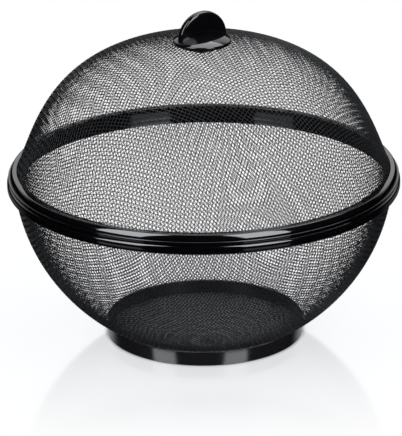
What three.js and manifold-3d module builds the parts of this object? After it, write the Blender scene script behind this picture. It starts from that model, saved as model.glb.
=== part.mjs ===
// A covered fruit basket: a round bowl of woven wire cloth on a foot ring, and a lift-off dome
// of the same cloth with a knob. Millimetres, +Z up, origin at the centre of the foot's base.
import * as THREE from 'three';
import { mergeVertices } from 'three/addons/utils/BufferGeometryUtils.js';
import Module from 'manifold-3d';

const wasm = await Module();
wasm.setup();

// Facets round each kind of piece, and steps along each arc
const roundSteps = 40;
const knobSteps = 40;
const screwSteps = 20;
const bowlArcSteps = 6;
const cornerArcSteps = 3;
const domeArcSteps = 7;
const edgeArcSteps = 3;
const crownArcSteps = 3;
const gripArcSteps = 9;
const gripEdgeSteps = 2;

// Woven cloth: two wires thick where they cross
const wireDiameter = 0.5;
const clothWall = 2 * wireDiameter;

// Openings in the cloth: a coarse square grid, laid slantwise like the wires, stands for their fine gaps
const openingSide = 25;
const openingBar = 8;
const openingDepth = 8;
const clothLay = THREE.MathUtils.degToRad(45);
const clothBand = 3;

// Clearances
const seatGap = 0.3;
const lidFit = 0.4;
const cutOverrun = 1;

// Foot ring: a strip hoop with its top edge folded inward under the bowl
const footRadius = 65.3;
const footHeight = 9.4;
const footWall = 1.2;
const footFlange = 5;
const footEdge = 0.8;

// Bowl of cloth: part of a sphere with a flat floor over the foot ring
const bowlRadius = 125.9;
const bowlDepth = 99.3;
const bowlCorner = 16;
const footShoulder = 0.3;

// Bowl rim: a rolled hoop with a groove in its underside for the cloth's edge
const bowlRimHeight = 6.6;
const bowlRimStandOut = 4.15;
const bowlRimShoulder = 2.1;
const bowlRimRoll = 2.4;
const rimWall = 0.8;
const bowlGrooveDepth = 5.7;

// Lid rim: a rolled hoop with a groove in its top, a bead low down and a lip inside the bowl's rim
const lidRimHeight = 6;
const lidRimSetback = 0.8;
const lidGrooveDepth = 4.2;
const lidShoulderWidth = 2.7;
const lidShoulderHeight = 3;
const lidBeadRadius = 1;
const lidBeadStandOut = 0.9;
const lidLipDepth = 3;
const lidLipWall = 1.4;

// Dome of cloth: its wall leans in at the rim and rounds over into a flat crown
const domeHeight = 89.9;
const domeFlare = THREE.MathUtils.degToRad(21);
const domeCrownShare = 0.785;
const domeWallShare = 0.44;

// Knob: a flange with a crowned top and an upright half-round grip, in one moulding
const flangeRadius = 18.9;
const flangeHeight = 2.8;
const flangeCrownRadius = 55;
const flangeUndercut = 1.4;
const flangeUndercutHeight = 0.4;
const flangeEdge = 0.9;
const gripRadius = 17.8;
const gripNeck = 1;
const gripThickness = 5.6;
const gripEdge = 1.2;
const gripRootShare = 0.5;
const knobTurn = THREE.MathUtils.degToRad(31.5);

// Knob screw and washer
const shankRadius = 2;
const shankTip = 0.6;
const screwEngagement = 9;
const headRadius = 4;
const headHeight = 2.6;
const headEdge = 1.2;
const recessLength = 4.4;
const recessWidth = 1;
const recessDepth = 1.4;
const washerRadius = 10;
const washerThickness = 1.2;

// Sizes that follow from the ones above
const bowlFloorHeight = footHeight + seatGap;
const bowlCentre = Math.sqrt(bowlRadius ** 2 - (footRadius + footShoulder) ** 2);
const bowlRimBase = bowlDepth - bowlRimHeight;
const bowlEdgeHeight = bowlRimBase + bowlGrooveDepth - seatGap;
const bowlWidestHeight = THREE.MathUtils.clamp(bowlCentre, bowlRimBase, bowlEdgeHeight);
const bowlNarrowestHeight = bowlCentre > (bowlRimBase + bowlEdgeHeight) / 2 ? bowlRimBase : bowlEdgeHeight;
const bowlGrooveOuter = clothRadius(bowlRadius, bowlWidestHeight) + seatGap;
const bowlGrooveInner = clothRadius(bowlRadius - clothWall, bowlNarrowestHeight) - seatGap;
const bowlRimOuter = bowlGrooveOuter + bowlRimStandOut;
const bowlRimInner = bowlGrooveInner - rimWall;
const lidSeatHeight = bowlFloorHeight + bowlDepth + seatGap;
const lidRimOuter = bowlRimOuter - lidRimSetback;
const lidLipOuter = bowlRimInner - lidFit;
const lidRimInner = lidLipOuter - lidLipWall;
const flareSpread = Math.tan(domeFlare);
const clothSpread = clothWall / Math.cos(domeFlare);
const domeEdgeHeight = lidRimHeight - lidGrooveDepth + seatGap;
const domeTopRadius = lidRimInner + rimWall + seatGap + clothSpread;
const domeEdgeRadius = domeTopRadius + (lidRimHeight - domeEdgeHeight) * flareSpread;
const crownHeight = domeEdgeHeight + domeHeight;

// Radius of a spherical cloth face at a height above the bowl's floor
function clothRadius(sphereRadius, height) {
  return Math.sqrt(sphereRadius ** 2 - (bowlCentre - height) ** 2);
}

// Points on an arc, angles in radians from the radial direction towards +Z
function arc(centreRadius, centreHeight, radiusAcross, radiusUp, from, to, steps) {
  const points = [];
  for (let step = 0; step <= steps; step += 1) {
    const angle = from + ((to - from) * step) / steps;
    points.push([centreRadius + radiusAcross * Math.cos(angle), centreHeight + radiusUp * Math.sin(angle)]);
  }
  return points;
}

// Solid of revolution round +Z from a profile of [radius, height] points
function turned(profile, steps) {
  const points = profile.map(([radius, height]) => new THREE.Vector2(radius, height));
  const geometry = new THREE.LatheGeometry(points, steps);
  geometry.rotateX(Math.PI / 2);
  return geometry;
}

function closedLoop(profile) {
  return [...profile, profile[0]];
}

function named(name, geometry, color, roughness, metalness) {
  const mesh = new THREE.Mesh(geometry, new THREE.MeshStandardMaterial({ color, roughness, metalness }));
  mesh.name = name;
  return mesh;
}

const blackWire = { color: 0x17181a, roughness: 0.42, metalness: 0.2 };
const blackEnamel = { color: 0x0b0b0d, roughness: 0.12, metalness: 0.1 };
const blackSatin = { color: 0x121214, roughness: 0.36, metalness: 0.1 };
const blackPlastic = { color: 0x0a0a0b, roughness: 0.14, metalness: 0 };
const zincSteel = { color: 0xb9bcc0, roughness: 0.3, metalness: 0.9 };

function piece(name, geometry, finish) {
  return named(name, geometry, finish.color, finish.roughness, finish.metalness);
}

function toSolid(geometry) {
  const bare = geometry.clone();
  bare.deleteAttribute('normal');
  bare.deleteAttribute('uv');
  const merged = mergeVertices(bare);
  const vertProperties = new Float32Array(merged.attributes.position.array);
  const triVerts = new Uint32Array(merged.index.array);
  return new wasm.Manifold(new wasm.Mesh({ numProp: 3, vertProperties, triVerts }));
}

function fromSolid(solid) {
  const mesh = solid.getMesh();
  const geometry = new THREE.BufferGeometry();
  geometry.setAttribute('position', new THREE.BufferAttribute(new Float32Array(mesh.vertProperties), 3));
  geometry.setIndex(new THREE.BufferAttribute(new Uint32Array(mesh.triVerts), 1));
  geometry.computeVertexNormals();
  return geometry;
}

// Length of a cloth face from the axis to its edge
function faceReach(face) {
  let reach = face[0][0];
  for (let next = 1; next < face.length; next += 1) {
    reach += Math.hypot(face[next][0] - face[next - 1][0], face[next][1] - face[next - 1][1]);
  }
  return reach;
}

// Place on a cloth face over a point of the flat grid, and the face's direction away from the floor there
function onCloth(face, x, y) {
  const reach = Math.hypot(x, y);
  let start = face[0][0];
  let next = 1;
  let length = 0;
  for (; next < face.length; next += 1) {
    length = Math.hypot(face[next][0] - face[next - 1][0], face[next][1] - face[next - 1][1]);
    if (reach <= start + length || next === face.length - 1) break;
    start += length;
  }
  const [nearRadius, nearHeight] = face[next - 1];
  const across = (face[next][0] - nearRadius) / length;
  const up = (face[next][1] - nearHeight) / length;
  const angle = Math.atan2(y, x) + clothLay;
  const outward = new THREE.Vector3(Math.cos(angle), Math.sin(angle), 0);
  const place = outward.clone().multiplyScalar(nearRadius + across * (reach - start));
  place.z = nearHeight + up * (reach - start);
  return { place, upward: outward.multiplyScalar(-up).setZ(across) };
}

// Block that cuts one opening, square to the cloth at the middle of its cell of the grid
function openingBlock(face, middleX, middleY) {
  const { upward } = onCloth(face, middleX, middleY);
  const geometry = new THREE.BoxGeometry(openingSide, openingSide, 2 * openingDepth);
  const corners = geometry.attributes.position;
  for (let corner = 0; corner < corners.count; corner += 1) {
    const { place } = onCloth(face, middleX + corners.getX(corner), middleY + corners.getY(corner));
    place.addScaledVector(upward, corners.getZ(corner));
    corners.setXYZ(corner, place.x, place.y, place.z);
  }
  return toSolid(geometry);
}

// Shell of cloth with the grid of openings cut through it, except where the kept zone lies
function openedCloth(shell, face, keptZone) {
  const reach = faceReach(face);
  const pitch = openingSide + openingBar;
  const count = Math.ceil(reach / pitch);
  let cloth = toSolid(shell);
  for (let row = -count; row < count; row += 1) {
    for (let column = -count; column < count; column += 1) {
      const middleX = row * pitch + pitch / 2;
      const middleY = column * pitch + pitch / 2;
      const nearestX = Math.abs(middleX) - openingSide / 2;
      const nearestY = Math.abs(middleY) - openingSide / 2;
      if (Math.hypot(nearestX, nearestY) < reach - clothBand - openingBar) {
        cloth = cloth.subtract(openingBlock(face, middleX, middleY).subtract(keptZone));
      }
    }
  }
  return fromSolid(cloth);
}

// Solid disc on the axis between two heights
function disc(radius, low, high) {
  return toSolid(turned([[0, low], [radius, low], [radius, high], [0, high]], roundSteps));
}

// One face of the bowl's cloth, from the axis out over the floor, round the corner and up the sphere
function bowlFace(inset) {
  const cornerHeight = bowlCorner;
  const cornerReach = bowlRadius - bowlCorner;
  const cornerRadius = Math.sqrt(cornerReach ** 2 - (bowlCentre - cornerHeight) ** 2);
  const cornerAngle = Math.atan2(cornerHeight - bowlCentre, cornerRadius);
  const edgeAngle = Math.asin((bowlEdgeHeight - bowlCentre) / (bowlRadius - inset));
  const cornerFace = bowlCorner - inset;
  const wallFace = bowlRadius - inset;
  const corner = arc(cornerRadius, cornerHeight, cornerFace, cornerFace, -Math.PI / 2, cornerAngle, cornerArcSteps);
  const wall = arc(0, bowlCentre, wallFace, wallFace, cornerAngle, edgeAngle, bowlArcSteps);
  return [[0, inset], ...corner, ...wall.slice(1)];
}

function bowlMesh() {
  const profile = [...bowlFace(0), ...bowlFace(clothWall).reverse()];
  const edgeBand = disc(bowlRimOuter, bowlRimBase - clothBand, bowlDepth);
  return piece('bowl_mesh', openedCloth(turned(profile, roundSteps), bowlFace(0), edgeBand), blackWire);
}

// Bowl rim, heights from the rim's own underside
function bowlRim() {
  const roll = bowlRimRoll;
  const shoulder = bowlRimShoulder;
  const rollCentre = bowlRimOuter - roll;
  const shoulderCentre = bowlRimOuter - shoulder;
  const profile = closedLoop([
    [bowlGrooveOuter, 0],
    ...arc(rollCentre, roll, roll, roll, -Math.PI / 2, 0, edgeArcSteps),
    ...arc(shoulderCentre, bowlRimHeight - shoulder, shoulder, shoulder, 0, Math.PI / 2, edgeArcSteps),
    [bowlRimInner, bowlRimHeight],
    [bowlRimInner, 0],
    [bowlGrooveInner, 0],
    [bowlGrooveInner, bowlGrooveDepth],
    [bowlGrooveOuter, bowlGrooveDepth],
  ]);
  return piece('bowl_rim', turned(profile, roundSteps), blackEnamel);
}

function footRing() {
  const inner = footRadius - footWall;
  const flangeInner = footRadius - footFlange;
  const flangeUnder = footHeight - footWall;
  const profile = closedLoop([
    [inner, 0],
    [footRadius, 0],
    ...arc(footRadius - footEdge, footHeight - footEdge, footEdge, footEdge, 0, Math.PI / 2, edgeArcSteps),
    [flangeInner, footHeight],
    [flangeInner, flangeUnder],
    [inner, flangeUnder],
  ]);
  return piece('foot_ring', turned(profile, roundSteps), blackSatin);
}

// The dome's outer face as points from the crown to the edge, with each point's outward direction
function domeCurve() {
  const wallReach = domeWallShare * domeHeight;
  const curve = new THREE.CubicBezierCurve(
    new THREE.Vector2(0, crownHeight),
    new THREE.Vector2(domeCrownShare * domeEdgeRadius, crownHeight),
    new THREE.Vector2(domeEdgeRadius - wallReach * flareSpread, domeEdgeHeight + wallReach),
    new THREE.Vector2(domeEdgeRadius, domeEdgeHeight),
  );
  const points = [];
  for (let step = 0; step <= domeArcSteps; step += 1) {
    const share = step / domeArcSteps;
    const place = curve.getPoint(share);
    const along = curve.getTangent(share);
    points.push({ place, outward: new THREE.Vector2(-along.y, along.x) });
  }
  return points;
}

// One face of the dome's cloth, cut level at its edge, with a small hole on the axis for the screw
function domeFace(inset) {
  const points = domeCurve().map(({ place, outward }) => [place.x - inset * outward.x, place.y - inset * outward.y]);
  const hole = shankRadius + seatGap;
  const wall = points.slice(0, -1).filter(([radius]) => radius > hole);
  const edge = [domeEdgeRadius - inset / Math.cos(domeFlare), domeEdgeHeight];
  return [[hole, points[0][1]], ...wall, edge];
}

// Height of the cloth's inner face at a radius near the crown
function innerHeightAt(radius) {
  const face = domeFace(clothWall);
  const next = face.findIndex((point) => point[0] > radius);
  const [nearRadius, nearHeight] = face[next - 1];
  const [farRadius, farHeight] = face[next];
  return nearHeight + ((farHeight - nearHeight) * (radius - nearRadius)) / (farRadius - nearRadius);
}

function lidMesh() {
  const profile = closedLoop([...domeFace(clothWall), ...domeFace(0).reverse()]);
  const edgeBand = disc(lidRimOuter, 0, lidRimHeight + clothBand);
  const knobSeat = disc(flangeRadius, crownHeight / 2, crownHeight + openingDepth);
  const keptZone = edgeBand.add(knobSeat);
  return piece('lid_mesh', openedCloth(turned(profile, roundSteps), domeFace(0), keptZone), blackWire);
}

// Lid rim, heights from the face that rests on the bowl's rim
function lidRim() {
  const neck = lidRimOuter - lidBeadStandOut;
  const beadCentre = lidRimOuter - lidBeadRadius;
  const beadTop = Math.acos((neck - beadCentre) / lidBeadRadius);
  const shoulderRadius = neck - lidShoulderWidth;
  const shoulderBase = lidRimHeight - lidShoulderHeight;
  const grooveFloor = lidRimHeight - lidGrooveDepth;
  const grooveLean = lidGrooveDepth * flareSpread;
  const grooveOuter = domeTopRadius + seatGap / Math.cos(domeFlare);
  const grooveInner = lidRimInner + rimWall;
  const bead = arc(beadCentre, lidBeadRadius, lidBeadRadius, lidBeadRadius, -Math.PI / 2, beadTop, 2 * edgeArcSteps);
  const shoulder = arc(
    shoulderRadius, shoulderBase, lidShoulderWidth, lidShoulderHeight, 0, Math.PI / 2, edgeArcSteps + 1,
  );
  const profile = closedLoop([
    [lidLipOuter, 0],
    ...bead,
    ...shoulder,
    [grooveOuter, lidRimHeight],
    [grooveOuter + grooveLean, grooveFloor],
    [grooveInner + grooveLean, grooveFloor],
    [grooveInner, lidRimHeight],
    [lidRimInner, lidRimHeight],
    [lidRimInner, -lidLipDepth],
    [lidLipOuter, -lidLipDepth],
  ]);
  return piece('lid_rim', turned(profile, roundSteps), blackEnamel);
}

// Flange, its rounded edge running smoothly into the crowned top
function knobFlange() {
  const edgeCentre = flangeRadius - flangeEdge;
  const edgeHeight = flangeHeight - flangeEdge;
  const crown = flangeCrownRadius;
  const crownCentre = edgeHeight - Math.sqrt((crown - flangeEdge) ** 2 - edgeCentre ** 2);
  const crownAngle = Math.atan2(edgeHeight - crownCentre, edgeCentre);
  return turned([
    [0, 0],
    [flangeRadius - flangeUndercut, 0],
    [flangeRadius, flangeUndercutHeight],
    ...arc(edgeCentre, edgeHeight, flangeEdge, flangeEdge, 0, crownAngle, edgeArcSteps).slice(0, -1),
    ...arc(0, crownCentre, crown, crown, crownAngle, Math.PI / 2, crownArcSteps).slice(0, -1),
    [0, crownCentre + crown],
  ], knobSteps);
}

// Half-round grip with rounded edges, standing on the flange with its root sunk into it
function knobGrip() {
  const root = gripRootShare * flangeHeight;
  const half = gripRadius - gripEdge;
  const outline = new THREE.Shape();
  outline.moveTo(-half, 0);
  outline.lineTo(half, 0);
  outline.lineTo(half, root + gripNeck);
  outline.absarc(0, root + gripNeck, half, 0, Math.PI, false);
  const geometry = new THREE.ExtrudeGeometry(outline, {
    depth: gripThickness - 2 * gripEdge,
    bevelThickness: gripEdge,
    bevelSize: gripEdge,
    bevelSegments: gripEdgeSteps,
    curveSegments: gripArcSteps,
  });
  geometry.translate(0, 0, gripEdge - gripThickness / 2);
  geometry.rotateX(Math.PI / 2);
  geometry.translate(0, 0, flangeHeight - root);
  return geometry;
}

function knob() {
  const holeRadius = shankRadius + seatGap;
  const holeDepth = screwEngagement + seatGap;
  const hole = turned([
    [0, -cutOverrun],
    [holeRadius, -cutOverrun],
    [holeRadius, holeDepth],
    [0, holeDepth],
  ], screwSteps);
  const body = toSolid(knobFlange()).add(toSolid(knobGrip()));
  return piece('knob', fromSolid(body.subtract(toSolid(hole))), blackPlastic);
}

function knobWasher() {
  const hole = shankRadius + seatGap;
  const profile = closedLoop([
    [hole, 0],
    [washerRadius, 0],
    [washerRadius, washerThickness],
    [hole, washerThickness],
  ]);
  return piece('knob_washer', turned(profile, knobSteps), zincSteel);
}

// Pan-head screw, heights from the face of its head that bears on the washer
function knobScrew(shankLength) {
  const headBase = -headHeight;
  const edgeRadius = headRadius - headEdge;
  const blank = turned([
    [0, headBase],
    ...arc(edgeRadius, headBase + headEdge, headEdge, headEdge, -Math.PI / 2, 0, edgeArcSteps),
    [headRadius, 0],
    [shankRadius, 0],
    [shankRadius, shankLength - shankTip],
    [shankRadius - shankTip, shankLength],
    [0, shankLength],
  ], screwSteps);
  const slotHeight = recessDepth + cutOverrun;
  const slot = new THREE.BoxGeometry(recessLength, recessWidth, slotHeight);
  slot.translate(0, 0, headBase + recessDepth - slotHeight / 2);
  const crossSlot = slot.clone().rotateZ(Math.PI / 2);
  const recess = toSolid(slot).add(toSolid(crossSlot));
  return piece('knob_screw', fromSolid(toSolid(blank).subtract(recess)), zincSteel);
}

// The bowl: foot ring on the table, cloth on the foot, rim round the cloth's edge
function bowl() {
  const group = new THREE.Group();
  const cloth = bowlMesh();
  const rim = bowlRim();
  cloth.position.z = bowlFloorHeight;
  rim.position.z = bowlFloorHeight + bowlRimBase;
  group.add(footRing(), cloth, rim);
  return group;
}

// The lid, in its own frame: height zero is the face that rests on the bowl's rim
function lid() {
  const group = new THREE.Group();
  const grip = knob();
  const washer = knobWasher();
  const washerHeight = innerHeightAt(washerRadius) - seatGap - washerThickness;
  const headSeat = washerHeight - seatGap;
  const knobHeight = crownHeight + seatGap;
  const screw = knobScrew(knobHeight + screwEngagement - headSeat);
  grip.position.z = knobHeight;
  grip.rotation.z = knobTurn;
  washer.position.z = washerHeight;
  screw.position.z = headSeat;
  group.add(lidRim(), lidMesh(), grip, washer, screw);
  return group;
}

const basket = new THREE.Group();
const cover = lid();
cover.position.z = lidSeatHeight;
basket.add(bowl(), cover);

export default basket;
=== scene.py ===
# A covered fruit basket of black wire cloth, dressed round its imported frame. Metres, +Z up.
import math

import bpy
import numpy as np
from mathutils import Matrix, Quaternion, Vector


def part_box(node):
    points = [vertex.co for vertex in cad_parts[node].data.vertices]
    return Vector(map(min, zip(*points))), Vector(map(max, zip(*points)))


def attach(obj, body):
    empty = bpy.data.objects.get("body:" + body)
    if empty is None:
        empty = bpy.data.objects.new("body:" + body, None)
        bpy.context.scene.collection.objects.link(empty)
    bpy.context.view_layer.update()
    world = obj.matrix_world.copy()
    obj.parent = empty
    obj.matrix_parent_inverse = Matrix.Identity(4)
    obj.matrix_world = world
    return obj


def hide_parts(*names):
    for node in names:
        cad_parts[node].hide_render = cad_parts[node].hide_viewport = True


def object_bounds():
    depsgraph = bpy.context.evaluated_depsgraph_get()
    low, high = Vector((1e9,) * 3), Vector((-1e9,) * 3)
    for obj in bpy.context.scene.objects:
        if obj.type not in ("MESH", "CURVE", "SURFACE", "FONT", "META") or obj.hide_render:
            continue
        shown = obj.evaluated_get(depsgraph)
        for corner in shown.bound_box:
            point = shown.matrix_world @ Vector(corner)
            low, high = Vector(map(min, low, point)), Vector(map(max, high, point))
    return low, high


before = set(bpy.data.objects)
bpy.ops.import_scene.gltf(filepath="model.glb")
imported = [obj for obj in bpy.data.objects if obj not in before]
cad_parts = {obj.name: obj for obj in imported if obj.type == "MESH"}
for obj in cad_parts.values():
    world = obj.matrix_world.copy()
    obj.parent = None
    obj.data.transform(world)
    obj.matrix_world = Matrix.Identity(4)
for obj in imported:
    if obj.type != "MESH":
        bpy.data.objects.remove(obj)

frameLow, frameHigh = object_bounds()
mm = 0.001


def say(text):
    print("basket:", text)


def deselectAll():
    if bpy.context.object and bpy.context.object.mode != "OBJECT":
        bpy.ops.object.mode_set(mode="OBJECT")
    bpy.ops.object.select_all(action="DESELECT")


def pick(piece):
    deselectAll()
    piece.select_set(True)
    bpy.context.view_layer.objects.active = piece


# Camera

cameraView = {
    "distance": 3.0,
    "elevation": math.radians(20.8),
    "roll": math.radians(-0.6),
    "aim": (-0.002, 0.0, 0.079),
    "focalPixels": 4520,      # focal length in pixels of the 402 x 436 image
    "longSidePixels": 436,
    "sensor": 36.0,
    "clip": (0.1, 50.0),
}


def makeCamera():
    data = bpy.data.cameras.new("photoCamera")
    camera = bpy.data.objects.new("photoCamera", data)
    bpy.context.scene.collection.objects.link(camera)
    data.sensor_width = cameraView["sensor"]
    data.lens = cameraView["focalPixels"] / cameraView["longSidePixels"] * cameraView["sensor"]
    data.clip_start, data.clip_end = cameraView["clip"]
    rise = cameraView["elevation"]
    back = Vector((0, -math.cos(rise), math.sin(rise)))
    camera.location = Vector(cameraView["aim"]) + back * cameraView["distance"]
    camera.rotation_mode = "QUATERNION"
    level = (-back).to_track_quat("-Z", "Y")
    camera.rotation_quaternion = level @ Quaternion((0, 0, 1), cameraView["roll"])
    bpy.context.scene.camera = camera


# Studio: two soft boxes in front, one panel high behind, a pale glossy floor and a bright backdrop

frontBox = {"elevation": 42, "distance": 1.59, "size": (0.68, 1.61), "radiance": 5.2, "tilt": 0.4}
softBoxes = {      # with tilt 0 a lamp stands upright, with 1 it faces the target
    "leftSoftBox": {**frontBox, "azimuth": -48.5},
    "rightSoftBox": {**frontBox, "azimuth": 35.5},
    "topPanel": {
        "azimuth": 150, "elevation": 68, "distance": 1.7, "size": (1.5, 1.2), "radiance": 3.2, "tilt": 1,
    },
}
lampTarget = Vector((0, 0, 0.1))
lampColor = (0.93, 0.96, 1.0)

backdrop = {
    "ambient": 0.24,          # soft light from all round
    "mirrorStrength": 1.0,    # what gloss sees behind the basket
    "mirrorDark": 0.006,      # what gloss sees on the camera's side
    "mirrorFrom": 0.5,        # it brightens between these shares of +Y
    "mirrorTo": 0.8,
    "wallTop": 0.9,           # and fades out between these shares of +Z, high up
    "wallFull": 0.75,
    "wallFoot": 0.14,         # and near the floor
    "wallLit": 0.32,
}

floorFinish = {
    "size": 8.0,
    "color": (0.8, 0.805, 0.815),       # what lights the basket from below
    "seenColor": (0.15, 0.152, 0.157),  # what the camera sees takes little shade
    "roughness": 0.1,
    "ior": 2.0,
    "lift": 0.67,             # the camera sees the floor glow by this much
    "liftColor": (0.97, 0.98, 1.0),
    "footShade": 0.0645,      # under the basket the floor is left in its own shade
    "footShadeEdge": 0.068,
    "footTone": 0.55,         # and takes this share of the seen colour
    "fadeNear": 0.075,        # shade and mirrored basket fade into white between these distances
    "fadeFar": 0.22,
    "mirror": 0.5,            # gloss sees the floor by the foot as a dark mirror
    "mirrorNear": 0.1,
    "mirrorFar": 0.15,
    "mirrorRoughness": 0.06,
}


def makeLamp(name, box):
    turn, rise = math.radians(box["azimuth"]), math.radians(box["elevation"])
    away = Vector((math.sin(turn) * math.cos(rise), -math.cos(turn) * math.cos(rise), math.sin(rise)))
    data = bpy.data.lights.new(name, "AREA")
    data.shape = "RECTANGLE"
    data.size, data.size_y = box["size"]
    data.color = lampColor
    data.energy = box["radiance"] * math.pi * data.size * data.size_y
    lamp = bpy.data.objects.new(name, data)
    bpy.context.scene.collection.objects.link(lamp)
    lamp.location = lampTarget + away * box["distance"]
    lamp.rotation_mode = "QUATERNION"
    facing = Vector((away.x, away.y, away.z * box["tilt"]))
    lamp.rotation_quaternion = (-facing).to_track_quat("-Z", "Y")
    lamp.visible_camera = False


def addMath(nodes, links, kind, *values):
    node = nodes.new("ShaderNodeMath")
    node.operation = kind
    for socket, value in zip(node.inputs, values):
        if isinstance(value, bpy.types.NodeSocket):
            links.new(value, socket)
        else:
            socket.default_value = value
    return node.outputs[0]


def addRange(nodes, links, value, span, reply=(0, 1), kind="LINEAR"):
    node = nodes.new("ShaderNodeMapRange")
    node.interpolation_type = kind
    for key, limit in zip(("From Min", "From Max", "To Min", "To Max"), (*span, *reply)):
        node.inputs[key].default_value = limit
    links.new(value, node.inputs["Value"])
    return node.outputs["Result"]


def addRays(nodes, links):      # what the camera sees and what gloss and glass see
    rays = nodes.new("ShaderNodeLightPath")
    glossy, through = rays.outputs["Is Glossy Ray"], rays.outputs["Is Transmission Ray"]
    return rays.outputs["Is Camera Ray"], addMath(nodes, links, "MAXIMUM", glossy, through)


def makeWorld():
    world = bpy.data.worlds.new("studioRoom")
    bpy.context.scene.world = world
    world.use_nodes = True
    nodes, links = world.node_tree.nodes, world.node_tree.links
    nodes.clear()
    out = nodes.new("ShaderNodeOutputWorld")
    isCamera, isGloss = addRays(nodes, links)
    direction = nodes.new("ShaderNodeTexCoord")
    axes = nodes.new("ShaderNodeSeparateXYZ")
    links.new(direction.outputs["Generated"], axes.inputs[0])
    span = (backdrop["mirrorFrom"], backdrop["mirrorTo"])
    reply = (backdrop["mirrorDark"], backdrop["mirrorStrength"])
    shine = addRange(nodes, links, axes.outputs["Y"], span, reply, "SMOOTHSTEP")
    for dark, lit in (("wallTop", "wallFull"), ("wallFoot", "wallLit")):
        span = (backdrop[dark], backdrop[lit])
        wall = addRange(nodes, links, axes.outputs["Z"], span, kind="SMOOTHSTEP")
        shine = addMath(nodes, links, "MULTIPLY", shine, wall)
    seen = {}
    for name in ("ambient", "mirror", "white"):
        seen[name] = nodes.new("ShaderNodeBackground")
        seen[name].inputs["Color"].default_value = (1, 1, 1, 1)
    seen["ambient"].inputs["Strength"].default_value = backdrop["ambient"]
    links.new(shine, seen["mirror"].inputs["Strength"])
    byGloss, byCamera = nodes.new("ShaderNodeMixShader"), nodes.new("ShaderNodeMixShader")
    links.new(isGloss, byGloss.inputs[0])
    links.new(seen["ambient"].outputs[0], byGloss.inputs[1])
    links.new(seen["mirror"].outputs[0], byGloss.inputs[2])
    links.new(isCamera, byCamera.inputs[0])
    links.new(byGloss.outputs[0], byCamera.inputs[1])
    links.new(seen["white"].outputs[0], byCamera.inputs[2])
    links.new(byCamera.outputs[0], out.inputs["Surface"])


def makeFloor():
    deselectAll()
    bpy.ops.mesh.primitive_plane_add(size=floorFinish["size"], location=(0, 0, frameLow.z))
    floor = bpy.context.object
    floor.name = "paleFloor"
    bpy.ops.object.transform_apply(location=True, rotation=True, scale=True)
    paint = bpy.data.materials.new("paleFloor")
    paint.use_nodes = True
    nodes, links = paint.node_tree.nodes, paint.node_tree.links
    shader, out = nodes["Principled BSDF"], nodes["Material Output"]
    shader.inputs["Roughness"].default_value = floorFinish["roughness"]
    shader.inputs["IOR"].default_value = floorFinish["ior"]
    shader.inputs["Emission Color"].default_value = (*floorFinish["liftColor"], 1)
    isCamera, isGloss = addRays(nodes, links)
    place = nodes.new("ShaderNodeTexCoord")
    reach = nodes.new("ShaderNodeVectorMath")
    reach.operation = "LENGTH"
    links.new(place.outputs["Object"], reach.inputs[0])

    def within(near, far, atNear, atFar):
        span = (floorFinish[near], floorFinish[far])
        return addRange(nodes, links, reach.outputs["Value"], span, (atNear, atFar))

    outside = within("footShade", "footShadeEdge", 0, 1)
    tone = nodes.new("ShaderNodeMix")
    tone.data_type = "RGBA"
    tone.inputs["A"].default_value = (*floorFinish["color"], 1)
    tone.inputs["B"].default_value = (*floorFinish["seenColor"], 1)
    shown = addMath(nodes, links, "MAXIMUM", outside, floorFinish["footTone"])
    links.new(addMath(nodes, links, "MULTIPLY", isCamera, shown), tone.inputs["Factor"])
    links.new(tone.outputs["Result"], shader.inputs["Base Color"])
    lift = addMath(nodes, links, "MULTIPLY", outside, floorFinish["lift"])
    links.new(addMath(nodes, links, "MULTIPLY", isCamera, lift), shader.inputs["Emission Strength"])
    mirror = nodes.new("ShaderNodeBsdfPrincipled")
    mirror.inputs["Metallic"].default_value = 1
    mirror.inputs["Roughness"].default_value = floorFinish["mirrorRoughness"]
    links.new(within("mirrorNear", "mirrorFar", floorFinish["mirror"], 0), mirror.inputs["Base Color"])
    white = nodes.new("ShaderNodeEmission")
    faded, mixed = nodes.new("ShaderNodeMixShader"), nodes.new("ShaderNodeMixShader")
    fade = within("fadeNear", "fadeFar", 0, 1)
    links.new(addMath(nodes, links, "MULTIPLY", isCamera, fade), faded.inputs[0])
    links.new(shader.outputs[0], faded.inputs[1])
    links.new(white.outputs[0], faded.inputs[2])
    links.new(isGloss, mixed.inputs[0])
    links.new(faded.outputs[0], mixed.inputs[1])
    links.new(mirror.outputs[0], mixed.inputs[2])
    links.new(mixed.outputs[0], out.inputs["Surface"])
    floor.data.materials.append(paint)


# Finishes

enamelInputs = {
    "Dark Color": (0.01, 0.01, 0.01), "Pale Color": (0.02, 0.02, 0.02), "Smooth": 0.2, "Rough": 0.3,
    "Patch Scale": 60.0, "Ripple Scale": 900.0, "Ripple Height": 0.1, "Dust": 0.1,
}
enamelOutputs = {"Color": "NodeSocketColor", "Roughness": "NodeSocketFloat", "Normal": "NodeSocketVector"}
enamelGrain = {
    "speckScale": 2600, "speckDetail": 2, "speckSpan": (0.62, 0.72),
    "patchDetail": 4, "rippleDetail": 2, "rippleDistance": 0.2 * mm,
}


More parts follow.
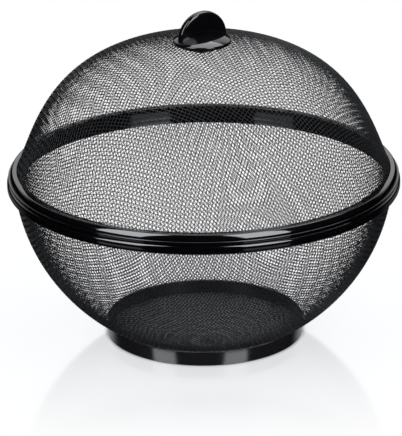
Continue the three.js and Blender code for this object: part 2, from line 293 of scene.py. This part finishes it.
def makeEnamelSkin():
    group = bpy.data.node_groups.new("enamelSkin", "ShaderNodeTree")
    for name, value in enamelInputs.items():
        isColor = isinstance(value, tuple)
        kind = "NodeSocketColor" if isColor else "NodeSocketFloat"
        socket = group.interface.new_socket(name, in_out="INPUT", socket_type=kind)
        socket.default_value = (*value, 1) if isColor else value
    for name, kind in enamelOutputs.items():
        group.interface.new_socket(name, in_out="OUTPUT", socket_type=kind)
    nodes, links = group.nodes, group.links
    given, result = nodes.new("NodeGroupInput"), nodes.new("NodeGroupOutput")
    place = nodes.new("ShaderNodeTexCoord")

    def noise(scale, detail):
        node = nodes.new("ShaderNodeTexNoise")
        node.inputs["Detail"].default_value = detail
        links.new(place.outputs["Object"], node.inputs["Vector"])
        if isinstance(scale, bpy.types.NodeSocket):
            links.new(scale, node.inputs["Scale"])
        else:
            node.inputs["Scale"].default_value = scale
        return node.outputs["Fac"]

    speckNoise = noise(enamelGrain["speckScale"], enamelGrain["speckDetail"])
    specks = addRange(nodes, links, speckNoise, enamelGrain["speckSpan"])
    dust = addMath(nodes, links, "MULTIPLY", specks, given.outputs["Dust"])
    patches = noise(given.outputs["Patch Scale"], enamelGrain["patchDetail"])
    cloudy = addMath(nodes, links, "ADD", patches, dust)
    cloudy.node.use_clamp = True
    tint = nodes.new("ShaderNodeMix")
    tint.data_type = "RGBA"
    links.new(cloudy, tint.inputs["Factor"])
    links.new(given.outputs["Dark Color"], tint.inputs["A"])
    links.new(given.outputs["Pale Color"], tint.inputs["B"])
    shine = nodes.new("ShaderNodeMix")
    shine.data_type = "FLOAT"
    links.new(cloudy, shine.inputs["Factor"])
    links.new(given.outputs["Smooth"], shine.inputs["A"])
    links.new(given.outputs["Rough"], shine.inputs["B"])
    bump = nodes.new("ShaderNodeBump")
    bump.inputs["Distance"].default_value = enamelGrain["rippleDistance"]
    links.new(given.outputs["Ripple Height"], bump.inputs["Strength"])
    ripples = noise(given.outputs["Ripple Scale"], enamelGrain["rippleDetail"])
    links.new(ripples, bump.inputs["Height"])
    links.new(tint.outputs["Result"], result.inputs["Color"])
    links.new(shine.outputs["Result"], result.inputs["Roughness"])
    links.new(bump.outputs["Normal"], result.inputs["Normal"])
    return group


def makeFinish(name, values):
    paint = bpy.data.materials.new(name)
    paint.use_nodes = True
    nodes, links = paint.node_tree.nodes, paint.node_tree.links
    shader = nodes["Principled BSDF"]
    skin = nodes.new("ShaderNodeGroup")
    skin.node_tree = enamelSkin
    for key in enamelInputs:
        value = values[key]
        skin.inputs[key].default_value = (*value, 1) if isinstance(value, tuple) else value
    links.new(skin.outputs["Color"], shader.inputs["Base Color"])
    links.new(skin.outputs["Roughness"], shader.inputs["Roughness"])
    links.new(skin.outputs["Normal"], shader.inputs["Normal"])
    shader.inputs["Metallic"].default_value = values["metallic"]
    shader.inputs["Specular IOR Level"].default_value = values["specular"]
    return paint


wireEnamel = {
    "Dark Color": (0.005, 0.0052, 0.0062), "Pale Color": (0.011, 0.0114, 0.0132),
    "Smooth": 0.26, "Rough": 0.4, "Patch Scale": 90.0, "Dust": 0.3,
    "Ripple Scale": 2200.0, "Ripple Height": 0.15, "metallic": 0.0, "specular": 0.4,
}
rimEnamel = {
    "Dark Color": (0.0008, 0.0008, 0.0011), "Pale Color": (0.002, 0.002, 0.0026),
    "Smooth": 0.05, "Rough": 0.09, "Patch Scale": 40.0, "Dust": 0.12,
    "Ripple Scale": 420.0, "Ripple Height": 0.03, "metallic": 0.0, "specular": 1.0,
}
footEnamel = {
    "Dark Color": (0.008, 0.008, 0.0094), "Pale Color": (0.014, 0.014, 0.016),
    "Smooth": 0.1, "Rough": 0.18, "Patch Scale": 70.0, "Dust": 0.25,
    "Ripple Scale": 900.0, "Ripple Height": 0.08, "metallic": 0.0, "specular": 0.7,
}
knobPlastic = {
    "Dark Color": (0.0016, 0.0016, 0.002), "Pale Color": (0.0034, 0.0034, 0.004),
    "Smooth": 0.07, "Rough": 0.12, "Patch Scale": 120.0, "Dust": 0.12,
    "Ripple Scale": 700.0, "Ripple Height": 0.02, "metallic": 0.0, "specular": 0.8,
}
zincPlate = {
    "Dark Color": (0.5, 0.51, 0.53), "Pale Color": (0.66, 0.67, 0.69),
    "Smooth": 0.22, "Rough": 0.4, "Patch Scale": 300.0, "Dust": 0.3,
    "Ripple Scale": 1500.0, "Ripple Height": 0.12, "metallic": 1.0, "specular": 0.5,
}


# Turned pieces: a section drawn vertex by vertex in the XZ plane, then spun round the basket's axis

turning = {
    "steps": 192, "arcStep": math.radians(11), "leastArcSteps": 2, "smoothAngle": math.radians(32),
    "seed": 1 * mm,            # the plane that is merged into the section's first vertex
    "weld": 0.001 * mm,
}


def startSection(name, start):
    deselectAll()
    bpy.ops.mesh.primitive_plane_add(size=turning["seed"], location=(start[0], 0, start[1]))
    piece = bpy.context.object
    piece.name = piece.data.name = name
    bpy.ops.object.transform_apply(location=True, rotation=True, scale=True)
    bpy.ops.object.mode_set(mode="EDIT")
    bpy.ops.mesh.select_mode(type="VERT")
    bpy.ops.mesh.select_all(action="SELECT")
    bpy.ops.mesh.merge(type="CENTER")
    return piece


def drawLine(here, goal):
    step = (goal[0] - here[0], 0, goal[1] - here[1])
    bpy.ops.mesh.extrude_vertices_move(TRANSFORM_OT_translate={"value": step})
    return goal


def drawArc(here, centre, turn):      # turn is positive from outward to upward
    steps = max(turning["leastArcSteps"], round(abs(turn) / turning["arcStep"]))
    bpy.ops.mesh.spin(steps=steps, angle=turn, center=(centre[0], 0, centre[1]), axis=(0, 1, 0))
    across, up = here[0] - centre[0], here[1] - centre[1]
    cosine, sine = math.cos(turn), math.sin(turn)
    return centre[0] + across * cosine - up * sine, centre[1] + across * sine + up * cosine


def turnedPiece(name, start, moves):
    piece = startSection(name, start)
    here = start
    for kind, *values in moves:
        here = drawArc(here, *values) if kind == "arc" else drawLine(here, *values)
    bpy.ops.mesh.select_all(action="SELECT")
    bpy.ops.mesh.remove_doubles(threshold=turning["weld"])
    bpy.ops.mesh.spin(steps=turning["steps"], angle=math.tau, center=(0, 0, 0), axis=(0, 0, 1))
    bpy.ops.mesh.select_all(action="SELECT")
    bpy.ops.mesh.remove_doubles(threshold=turning["weld"])
    bpy.ops.mesh.normals_make_consistent(inside=False)
    bpy.ops.object.mode_set(mode="OBJECT")
    bpy.ops.object.shade_smooth_by_angle(angle=turning["smoothAngle"])
    return piece


def settle(piece, body, node, paint):
    piece.data.materials.clear()
    piece.data.materials.append(paint)
    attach(piece, body)
    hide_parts(node)
    low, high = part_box(node)
    points = np.array([vertex.co for vertex in piece.data.vertices])
    off = max(abs(points.min(0) - np.array(low)).max(), abs(points.max(0) - np.array(high)).max())
    say(f"{piece.name}: {len(piece.data.polygons)} faces, {off / mm:.2f} mm from its node's box")


def quarter(turns):
    return turns * math.pi / 2


footRing = {"wall": 1.2 * mm, "flange": 5 * mm, "topEdge": 0.8 * mm, "bottomEdge": 0.25 * mm}


def makeFootRing(paint):
    low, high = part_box("foot_ring")
    outer, top, base = high.x, high.z, low.z
    wall, edge, lip = footRing["wall"], footRing["topEdge"], footRing["bottomEdge"]
    inner = outer - wall
    reach = outer - footRing["flange"]
    hem = wall / 2
    piece = turnedPiece("footRing", (outer - lip, base), [
        ("arc", (outer - lip, base + lip), quarter(1)),
        ("line", (outer, top - edge)),
        ("arc", (outer - edge, top - edge), quarter(1)),
        ("line", (reach + hem, top)),
        ("arc", (reach + hem, top - hem), quarter(2)),
        ("line", (inner - edge, top - wall)),
        ("arc", (inner - edge, top - wall - edge), quarter(-1)),
        ("line", (inner, base + lip)),
        ("arc", (inner + lip, base + lip), quarter(1)),
        ("line", (outer - lip, base)),
    ])
    settle(piece, "bowl", "foot_ring", paint)


bowlRim = {
    "roll": 2.4 * mm, "shoulder": 2.1 * mm, "standOut": 4.15 * mm, "wall": 0.8 * mm,
    "grooveWidth": 2.1 * mm, "grooveDepth": 5.7 * mm, "innerEdge": 0.35 * mm,
}


def makeBowlRim(paint):
    low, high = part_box("bowl_rim")
    outer, top, base = high.x, high.z, low.z
    roll, shoulder, edge = bowlRim["roll"], bowlRim["shoulder"], bowlRim["innerEdge"]
    grooveOuter = outer - bowlRim["standOut"]
    grooveInner = grooveOuter - bowlRim["grooveWidth"]
    inner = grooveInner - bowlRim["wall"]
    grooveTop = base + bowlRim["grooveDepth"]
    piece = turnedPiece("bowlRim", (grooveOuter, base), [
        ("line", (outer - roll, base)),
        ("arc", (outer - roll, base + roll), quarter(1)),
        ("line", (outer, top - shoulder)),
        ("arc", (outer - shoulder, top - shoulder), quarter(1)),
        ("line", (inner + edge, top)),
        ("arc", (inner + edge, top - edge), quarter(1)),
        ("line", (inner, base + edge)),
        ("arc", (inner + edge, base + edge), quarter(1)),
        ("line", (grooveInner, base)),
        ("line", (grooveInner, grooveTop)),
        ("line", (grooveOuter, grooveTop)),
        ("line", (grooveOuter, base)),
    ])
    settle(piece, "bowl", "bowl_rim", paint)


lidRim = {
    "height": 6 * mm, "bead": 2 * mm, "beadEdge": 0.4 * mm, "beadStandOut": 0.9 * mm, "innerEdge": 0.3 * mm,
    "roll": 6 * mm, "rollFrom": math.radians(5), "rollTo": math.radians(45), "topEdge": 0.9 * mm,
    "grooveDepth": 4.2 * mm, "grooveWall": 0.8 * mm, "gap": 0.3 * mm,
    "lipWall": 1.4 * mm, "lipEdge": 0.5 * mm,
}


def makeLidRim(paint):
    low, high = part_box("lid_rim")
    outer, top = high.x, high.z
    seat = top - lidRim["height"]
    neck = outer - lidRim["beadStandOut"]
    beadTop, beadEdge = seat + lidRim["bead"], lidRim["beadEdge"]
    roll, rollFrom, rollTo = lidRim["roll"], lidRim["rollFrom"], lidRim["rollTo"]
    topEdge, edge = lidRim["topEdge"], lidRim["innerEdge"]
    rollCentre = (neck - roll * math.cos(rollFrom), top - topEdge - (roll - topEdge) * math.sin(rollTo))
    edgeCentre = (rollCentre[0] + (roll - topEdge) * math.cos(rollTo), top - topEdge)
    lean = math.tan(domeCloth["flare"])
    spread = 1 / math.cos(domeCloth["flare"])
    clothLow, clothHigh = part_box("lid_mesh")
    clothTop = clothHigh.x - (top - clothLow.z) * lean      # the cloth's outer radius at the rim's top
    grooveFloor = top - lidRim["grooveDepth"]
    grooveOuter = clothTop + lidRim["gap"] * spread
    grooveInner = clothTop - (domeCloth["wall"] + lidRim["gap"]) * spread
    inner = grooveInner - lidRim["grooveWall"]
    lipOuter, lipEdge = inner + lidRim["lipWall"], lidRim["lipEdge"]
    drift = lidRim["grooveDepth"] * lean
    piece = turnedPiece("lidRim", (lipOuter, seat), [
        ("line", (outer - beadEdge, seat)),
        ("arc", (outer - beadEdge, seat + beadEdge), quarter(1)),
        ("line", (outer, beadTop - beadEdge)),
        ("arc", (outer - beadEdge, beadTop - beadEdge), quarter(1)),
        ("line", (neck, beadTop)),
        ("line", (neck, rollCentre[1] + roll * math.sin(rollFrom))),
        ("arc", rollCentre, rollTo - rollFrom),
        ("arc", edgeCentre, quarter(1) - rollTo),
        ("line", (grooveOuter, top)),
        ("line", (grooveOuter + drift, grooveFloor)),
        ("line", (grooveInner + drift, grooveFloor)),
        ("line", (grooveInner, top)),
        ("line", (inner + edge, top)),
        ("arc", (inner + edge, top - edge), quarter(1)),
        ("line", (inner, low.z + lipEdge)),
        ("arc", (inner + lipEdge, low.z + lipEdge), quarter(1)),
        ("line", (lipOuter - lipEdge, low.z)),
        ("arc", (lipOuter - lipEdge, low.z + lipEdge), quarter(1)),
        ("line", (lipOuter, seat)),
    ])
    settle(piece, "lid", "lid_rim", paint)


# Knob and what holds it

knobSizes = {
    "flangeHeight": 2.8 * mm, "undercut": 1.4 * mm, "undercutHeight": 0.4 * mm, "flangeEdge": 0.9 * mm,
    "flangeRadius": 18.9 * mm, "flangeCrown": 48 * mm,
    "flangeShoulder": 24 * mm, "shoulderAngle": math.radians(62),
    "gripRadius": 17.8 * mm, "gripThickness": 5.2 * mm, "gripEdge": 1.8 * mm,
    "gripRoot": 2 * mm, "turn": math.radians(31.5), "gripFacets": 128, "edgeSegments": 5,
    "holeRadius": 2.3 * mm, "holeDepth": 9.3 * mm, "holeFacets": 48,
    "near": 0.01 * mm,         # points nearer than this count as level with each other
}


def selectEdges(piece, wanted):
    bpy.ops.object.mode_set(mode="EDIT")
    bpy.ops.mesh.select_mode(type="EDGE")
    bpy.ops.mesh.select_all(action="DESELECT")
    bpy.ops.object.mode_set(mode="OBJECT")
    points = [vertex.co for vertex in piece.data.vertices]
    for edge in piece.data.edges:
        edge.select = wanted(*(points[k] for k in edge.vertices))
    bpy.ops.object.mode_set(mode="EDIT")


def cutWith(piece, tool, kind):
    pick(piece)
    cut = piece.modifiers.new(kind.lower(), "BOOLEAN")
    cut.operation = kind
    cut.solver = "EXACT"
    cut.object = tool
    bpy.ops.object.modifier_apply(modifier=cut.name)
    bpy.data.objects.remove(tool)


def makeGrip(centreHeight):
    radius, half, edge = knobSizes["gripRadius"], knobSizes["gripThickness"] / 2, knobSizes["gripEdge"]
    near = knobSizes["near"]
    deselectAll()
    bpy.ops.mesh.primitive_cylinder_add(
        vertices=knobSizes["gripFacets"], radius=radius, depth=2 * half,
        location=(0, 0, centreHeight), rotation=(quarter(1), 0, 0),
    )
    grip = bpy.context.object
    bpy.ops.object.transform_apply(location=True, rotation=True, scale=True)
    bpy.ops.object.mode_set(mode="EDIT")
    bpy.ops.mesh.select_all(action="SELECT")
    bpy.ops.mesh.bisect(plane_co=(0, 0, centreHeight), plane_no=(0, 0, 1), clear_inner=True, use_fill=True)
    selectEdges(grip, lambda first, last: max(first.z, last.z) < centreHeight + near)
    bpy.ops.mesh.select_mode(type="FACE")
    bpy.ops.mesh.extrude_region_move(TRANSFORM_OT_translate={"value": (0, 0, -knobSizes["gripRoot"])})

    def onOutline(first, last):      # the bars of both flat faces' outlines, but not their straight foot
        along = abs(first.y - last.y) < near and abs(first.x - last.x) < radius
        return along and max(first.z, last.z) > centreHeight - near

    selectEdges(grip, onOutline)
    bpy.ops.mesh.bevel(offset=edge, segments=knobSizes["edgeSegments"], affect="EDGES")
    bpy.ops.object.mode_set(mode="OBJECT")
    grip.rotation_euler.z = knobSizes["turn"]
    bpy.ops.object.transform_apply(location=True, rotation=True, scale=True)
    return grip


def makeKnob(paint):
    low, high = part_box("knob")
    base, radius = low.z, knobSizes["flangeRadius"]
    edge, shoulder, crown = knobSizes["flangeEdge"], knobSizes["flangeShoulder"], knobSizes["flangeCrown"]
    edgeCentre = (radius - edge, base + knobSizes["flangeHeight"] - edge)
    edgeTurn = knobSizes["shoulderAngle"]
    shoulderCentre = (edgeCentre[0] - (shoulder - edge) * math.cos(edgeTurn),
                      edgeCentre[1] - (shoulder - edge) * math.sin(edgeTurn))
    crownAngle = math.acos(shoulderCentre[0] / (crown - shoulder))
    crownCentre = shoulderCentre[1] - (crown - shoulder) * math.sin(crownAngle)
    knob = turnedPiece("halfRoundKnob", (0, base), [
        ("line", (radius - knobSizes["undercut"], base)),
        ("line", (radius, base + knobSizes["undercutHeight"])),
        ("line", (radius, edgeCentre[1])),
        ("arc", edgeCentre, edgeTurn),
        ("arc", shoulderCentre, crownAngle - edgeTurn),
        ("arc", (0, crownCentre), quarter(1) - crownAngle),
    ])
    cutWith(knob, makeGrip(high.z - knobSizes["gripRadius"]), "UNION")
    deselectAll()
    hole = knobSizes["holeDepth"]
    bpy.ops.mesh.primitive_cylinder_add(
        vertices=knobSizes["holeFacets"], radius=knobSizes["holeRadius"],
        depth=2 * hole, location=(0, 0, base),
    )
    drill = bpy.context.object
    bpy.ops.object.transform_apply(location=True, rotation=True, scale=True)
    cutWith(knob, drill, "DIFFERENCE")
    bpy.ops.object.shade_smooth_by_angle(angle=turning["smoothAngle"])
    settle(knob, "lid", "knob", paint)


washerSizes = {"hole": 2.3 * mm, "edge": 0.15 * mm}


def makeWasher(paint):
    low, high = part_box("knob_washer")
    hole, edge, outer = washerSizes["hole"], washerSizes["edge"], high.x
    piece = turnedPiece("knobWasher", (hole, low.z), [
        ("line", (outer - edge, low.z)),
        ("arc", (outer - edge, low.z + edge), quarter(1)),
        ("line", (outer, high.z - edge)),
        ("arc", (outer - edge, high.z - edge), quarter(1)),
        ("line", (hole, high.z)),
        ("line", (hole, low.z)),
    ])
    settle(piece, "lid", "knob_washer", paint)


screwSizes = {
    "shank": 2 * mm, "tip": 0.6 * mm, "head": 2.6 * mm, "headEdge": 1.2 * mm,
    "recessLength": 4.4 * mm, "recessWidth": 1 * mm, "recessDepth": 1.4 * mm,
}


def makeScrew(paint):
    low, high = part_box("knob_screw")
    head, edge, shank = high.x, screwSizes["headEdge"], screwSizes["shank"]
    seat = low.z + screwSizes["head"]
    tip = screwSizes["tip"]
    screw = turnedPiece("knobScrew", (0, low.z), [
        ("line", (head - edge, low.z)),
        ("arc", (head - edge, low.z + edge), quarter(1)),
        ("line", (head, seat)),
        ("line", (shank, seat)),
        ("line", (shank, high.z - tip)),
        ("line", (shank - tip, high.z)),
        ("line", (0, high.z)),
    ])
    for turn in (0, quarter(1)):
        deselectAll()
        bpy.ops.mesh.primitive_cube_add(size=1, location=(0, 0, low.z), rotation=(0, 0, turn))
        slot = bpy.context.object
        slot.scale = (screwSizes["recessLength"], screwSizes["recessWidth"], 2 * screwSizes["recessDepth"])
        bpy.ops.object.transform_apply(location=True, rotation=True, scale=True)
        cutWith(screw, slot, "DIFFERENCE")
    bpy.ops.object.shade_smooth_by_angle(angle=turning["smoothAngle"])
    settle(screw, "lid", "knob_screw", paint)


# Wire cloth: a net of equal cells laid over a round surface, each wire passing over and under the next

weave = {
    "wireSides": 5,
    "spare": 12 * mm,          # the surface runs on this far past its edge while the net is laid
    "spareCells": 3,           # the net is laid this many cells past the edge
    "newtonSteps": 7,
    "wander": 0.16 * mm,       # how far the wires stray from a perfect net
    "leastStub": 0.05,         # a shorter end, as a share of a cell, is left off
    "tiny": 1e-9,              # lengths are kept above this before they divide
}


def profileTable(radius, height):
    steps = np.hypot(np.diff(radius), np.diff(height))
    keep = np.concatenate(([True], steps > weave["tiny"]))
    radius, height = radius[keep], height[keep]
    along = np.concatenate(([0.0], np.cumsum(np.hypot(np.diff(radius), np.diff(height)))))
    slopeR, slopeZ = np.gradient(radius, along), np.gradient(height, along)
    spare = weave["spare"]
    table = {"edge": along[-1], "along": np.append(along, along[-1] + spare)}
    table["r"] = np.append(radius, radius[-1] + spare * slopeR[-1])
    table["z"] = np.append(height, height[-1] + spare * slopeZ[-1])
    table["dr"] = np.append(slopeR, slopeR[-1])
    table["dz"] = np.append(slopeZ, slopeZ[-1])
    return table


bowlCloth = {
    "sphereRadius": 125.9 * mm, "corner": 16 * mm, "wall": 1 * mm,
    "wire": 0.48 * mm, "pitch": 2.26 * mm, "layAngle": math.radians(45.5), "layDrift": math.radians(2.5),
    "samples": (600, 200, 1200),      # along the floor, the corner and the side
}


def bowlProfile():
    low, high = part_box("bowl_mesh")
    half, sphere, corner = bowlCloth["wall"] / 2, bowlCloth["sphereRadius"], bowlCloth["corner"]
    centre = high.z + math.sqrt(sphere ** 2 - high.x ** 2)
    cornerZ = low.z + corner
    cornerR = math.sqrt((sphere - corner) ** 2 - (centre - cornerZ) ** 2)
    turn = math.atan2(cornerR, centre - cornerZ)
    flatSamples, bendSamples, riseSamples = bowlCloth["samples"]
    flat = np.linspace(0, cornerR, flatSamples)
    bend = np.linspace(0, turn, bendSamples)[1:]
    rise = np.linspace(turn, math.acos((centre - high.z) / (sphere - half)), riseSamples)[1:]
    radius = (flat, cornerR + (corner - half) * np.sin(bend), (sphere - half) * np.sin(rise))
    height = (np.full(flat.shape, low.z + half), cornerZ - (corner - half) * np.cos(bend),
              centre - (sphere - half) * np.cos(rise))
    return profileTable(np.concatenate(radius), np.concatenate(height))


domeCloth = {
    "flare": math.radians(21), "crownShare": 0.785, "wallShare": 0.44,
    "wall": 1 * mm, "screwHole": 2.4 * mm,
    "wire": 0.44 * mm, "pitch": 2.54 * mm, "layAngle": math.radians(59.5), "layDrift": math.radians(-4.5),
    "samples": 2400,
}


def domeProfile():
    low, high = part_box("lid_mesh")
    reach = domeCloth["wallShare"] * (high.z - low.z)
    corners = np.array([
        (0, high.z),
        (domeCloth["crownShare"] * high.x, high.z),
        (high.x - reach * math.tan(domeCloth["flare"]), low.z + reach),
        (high.x, low.z),
    ])
    share = np.linspace(0, 1, domeCloth["samples"])[:, None]
    weights = ((1 - share) ** 3, 3 * (1 - share) ** 2 * share, 3 * (1 - share) * share ** 2, share ** 3)
    curve = sum(weight * corner for weight, corner in zip(weights, corners))
    along = np.gradient(curve, axis=0)
    along /= np.linalg.norm(along, axis=1)[:, None]
    outward = np.stack((-along[:, 1], along[:, 0]), axis=1)
    middle = curve - outward * domeCloth["wall"] / 2
    middle[0, 0] = 0
    return profileTable(middle[:, 0], middle[:, 1])


# For spots on the cloth's flat map: the points, their two derivatives and the outward normals
def onSurface(profile, spot):
    reach = np.maximum(np.hypot(spot[:, 0], spot[:, 1]), weave["tiny"])
    values = (np.interp(reach, profile["along"], profile[key]) for key in ("r", "z", "dr", "dz"))
    radius, height, slopeR, slopeZ = values
    ux, uy, ring = spot[:, 0] / reach, spot[:, 1] / reach, radius / reach
    point = np.stack((radius * ux, radius * uy, height), axis=1)
    twist = (slopeR - ring) * ux * uy
    byX = np.stack((slopeR * ux * ux + ring * (1 - ux * ux), twist, slopeZ * ux), axis=1)
    byY = np.stack((twist, slopeR * uy * uy + ring * (1 - uy * uy), slopeZ * uy), axis=1)
    outward = np.stack((-slopeZ * ux, -slopeZ * uy, slopeR), axis=1)
    return point, byX, byY, outward


# A quarter of the net: each knot lies one pitch from its two neighbours nearer the middle
def layQuarter(profile, pitch, lay):
    count = int(profile["edge"] / pitch) + weave["spareCells"]
    limit = profile["edge"] + weave["spareCells"] * pitch
    spots = np.full((count + 1, count + 1, 2), np.nan)
    points = np.full((count + 1, count + 1, 3), np.nan)
    steps = np.arange(count + 1) * pitch
    spots[:, 0] = np.stack((steps * math.cos(lay), steps * math.sin(lay)), axis=1)
    spots[0, :] = np.stack((-steps * math.sin(lay), steps * math.cos(lay)), axis=1)
    points[:, 0] = onSurface(profile, spots[:, 0])[0]
    points[0, :] = onSurface(profile, spots[0, :])[0]
    for total in range(2, 2 * count + 1):
        i = np.arange(max(1, total - count), min(count, total - 1) + 1)
        j = total - i
        left, right = points[i - 1, j], points[i, j - 1]
        spot = spots[i - 1, j] + spots[i, j - 1] - spots[i - 1, j - 1]
        for _ in range(weave["newtonSteps"]):
            point, byX, byY, _ = onSurface(profile, spot)
            toLeft, toRight = point - left, point - right
            missLeft = (toLeft ** 2).sum(1) - pitch ** 2
            missRight = (toRight ** 2).sum(1) - pitch ** 2
            a, b = 2 * (toLeft * byX).sum(1), 2 * (toLeft * byY).sum(1)
            c, d = 2 * (toRight * byX).sum(1), 2 * (toRight * byY).sum(1)
            move = np.stack((d * missLeft - b * missRight, a * missRight - c * missLeft), axis=1)
            spot = spot - move / (a * d - b * c)[:, None]
        spot[np.hypot(spot[:, 0], spot[:, 1]) > limit] = np.nan
        spots[i, j] = spot
        points[i, j] = onSurface(profile, spot)[0]
    return spots


def layNet(profile, pitch, lay):
    part = layQuarter(profile, pitch, lay)
    count = part.shape[0] - 1
    net = np.full((2 * count + 1, 2 * count + 1, 2), np.nan)
    i, j = np.meshgrid(np.arange(count + 1), np.arange(count + 1), indexing="ij")
    x, y = part[..., 0], part[..., 1]
    net[count + i, count + j] = np.stack((x, y), axis=-1)
    net[count - j, count + i] = np.stack((-y, x), axis=-1)
    net[count - i, count - j] = np.stack((-x, -y), axis=-1)
    net[count + j, count - i] = np.stack((y, -x), axis=-1)
    return net


# Laid a little askew, the weave turns from the front to the back
def drifted(net, profile, drift):
    turn = drift * net[..., 1] / profile["edge"]
    x = net[..., 0] * np.cos(turn) - net[..., 1] * np.sin(turn)
    y = net[..., 0] * np.sin(turn) + net[..., 1] * np.cos(turn)
    return np.stack((x, y), axis=-1)


# Slow waves that carry neighbouring wires a little to and fro: size, length by x, length by y, start
wanderWaves = {
    "alongX": (
        (0.5, 57 * mm, 145 * mm, 0.0),
        (0.3, -107 * mm, 40 * mm, 1.3),
        (0.2, 23 * mm, 900 * mm, 2.1),
    ),
    "alongY": (
        (0.5, -132 * mm, 52 * mm, 0.7),
        (0.3, 37 * mm, 119 * mm, 2.6),
        (0.2, 900 * mm, 26 * mm, 0.4),
    ),
}


def wandered(net):
    waves = []
    for rows in wanderWaves.values():
        waves.append(sum(
            size * np.sin(math.tau * (net[..., 0] / lengthX + net[..., 1] / lengthY) + start)
            for size, lengthX, lengthY, start in rows
        ))
    return net + weave["wander"] * np.stack(waves, axis=-1)


def runsWithin(reach, low, high):
    inside = (reach <= high) & (reach >= low)
    steps = np.flatnonzero(np.diff(np.concatenate(([False], inside, [False])).astype(int)))
    return [(first, last - 1) for first, last in zip(steps[::2], steps[1::2])]


# A wire's stretches between the hole and the edge, cut where they cross these
def trimmed(row, lifts, low, high):
    reach = np.hypot(row[:, 0], row[:, 1])
    for first, last in runsWithin(reach, low, high):
        spots, heights = [row[first:last + 1]], [lifts[first:last + 1]]
        for inner, outer, front in ((first, first - 1, True), (last, last + 1, False)):
            if not 0 <= outer < len(row) or np.isnan(reach[outer]):
                continue
            goal = high if reach[outer] > high else low
            share = (goal - reach[inner]) / (reach[outer] - reach[inner])
            if share > weave["leastStub"]:
                where = 0 if front else len(spots)
                spots.insert(where, (row[inner] + share * (row[outer] - row[inner]))[None])
                heights.insert(where, [lifts[inner] + share * (lifts[outer] - lifts[inner])])
        spots, heights = np.concatenate(spots), np.concatenate(heights)
        if len(spots) > 1:
            yield spots, heights


def wireSection(radius):
    data = bpy.data.curves.new("wireSection", "CURVE")
    ring = data.splines.new("POLY")
    ring.points.add(weave["wireSides"] - 1)
    for k, point in enumerate(ring.points):
        turn = math.tau * k / weave["wireSides"]
        point.co = (radius * math.cos(turn), radius * math.sin(turn), 0, 1)
    ring.use_cyclic_u = True
    ring.use_smooth = True
    section = bpy.data.objects.new("wireSection", data)
    bpy.context.scene.collection.objects.link(section)
    return section


def makeWires(name, profile, net, radius, crosswise, hole):
    size = net.shape[0]
    i, j = np.meshgrid(np.arange(size), np.arange(size), indexing="ij")
    over = np.where((i + j) % 2 == 0, 1.0, -1.0)
    rows, lifts = (net.transpose(1, 0, 2), over.T) if crosswise else (net, -over)
    section = wireSection(radius)
    data = bpy.data.curves.new(name, "CURVE")
    data.dimensions = "3D"
    data.bevel_mode = "OBJECT"
    data.bevel_object = section
    data.use_fill_caps = True
    for row, lift in zip(rows, lifts):
        for spots, heights in trimmed(row, lift, hole, profile["edge"]):
            point, _, _, outward = onSurface(profile, spots)
            point = point + outward * heights[:, None] * radius
            spline = data.splines.new("POLY")
            spline.points.add(len(point) - 1)
            spline.points.foreach_set("co", np.column_stack((point, np.ones(len(point)))).ravel())
            spline.use_smooth = True
    wires = bpy.data.objects.new(name, data)
    bpy.context.scene.collection.objects.link(wires)
    pick(wires)
    bpy.ops.object.convert(target="MESH")
    bpy.data.objects.remove(section)
    return bpy.context.object


def makeCloth(name, profile, cloth, hole, body, node, paint):
    net = layNet(profile, cloth["pitch"], cloth["layAngle"])
    net = wandered(drifted(net, profile, cloth["layDrift"]))
    for side in ("Warp", "Weft"):
        wires = makeWires(name + side, profile, net, cloth["wire"] / 2, side == "Weft", hole)
        settle(wires, body, node, paint)


bpy.context.scene.view_settings.view_transform = "Standard"
makeCamera()
for lampName, lampBox in softBoxes.items():
    makeLamp(lampName, lampBox)
makeWorld()
makeFloor()
say("camera, lamps and floor are set")

enamelSkin = makeEnamelSkin()
blackRim = makeFinish("blackRimEnamel", rimEnamel)
zinc = makeFinish("zincPlate", zincPlate)
makeFootRing(makeFinish("blackFootEnamel", footEnamel))
makeBowlRim(blackRim)
makeLidRim(blackRim)
makeKnob(makeFinish("blackKnobPlastic", knobPlastic))
makeWasher(zinc)
makeScrew(zinc)
say("turned pieces and knob are made")

blackWire = makeFinish("blackWireEnamel", wireEnamel)
makeCloth("bowlWire", bowlProfile(), bowlCloth, 0, "bowl", "bowl_mesh", blackWire)
makeCloth("lidWire", domeProfile(), domeCloth, domeCloth["screwHole"], "lid", "lid_mesh", blackWire)
say("wire cloth is woven")
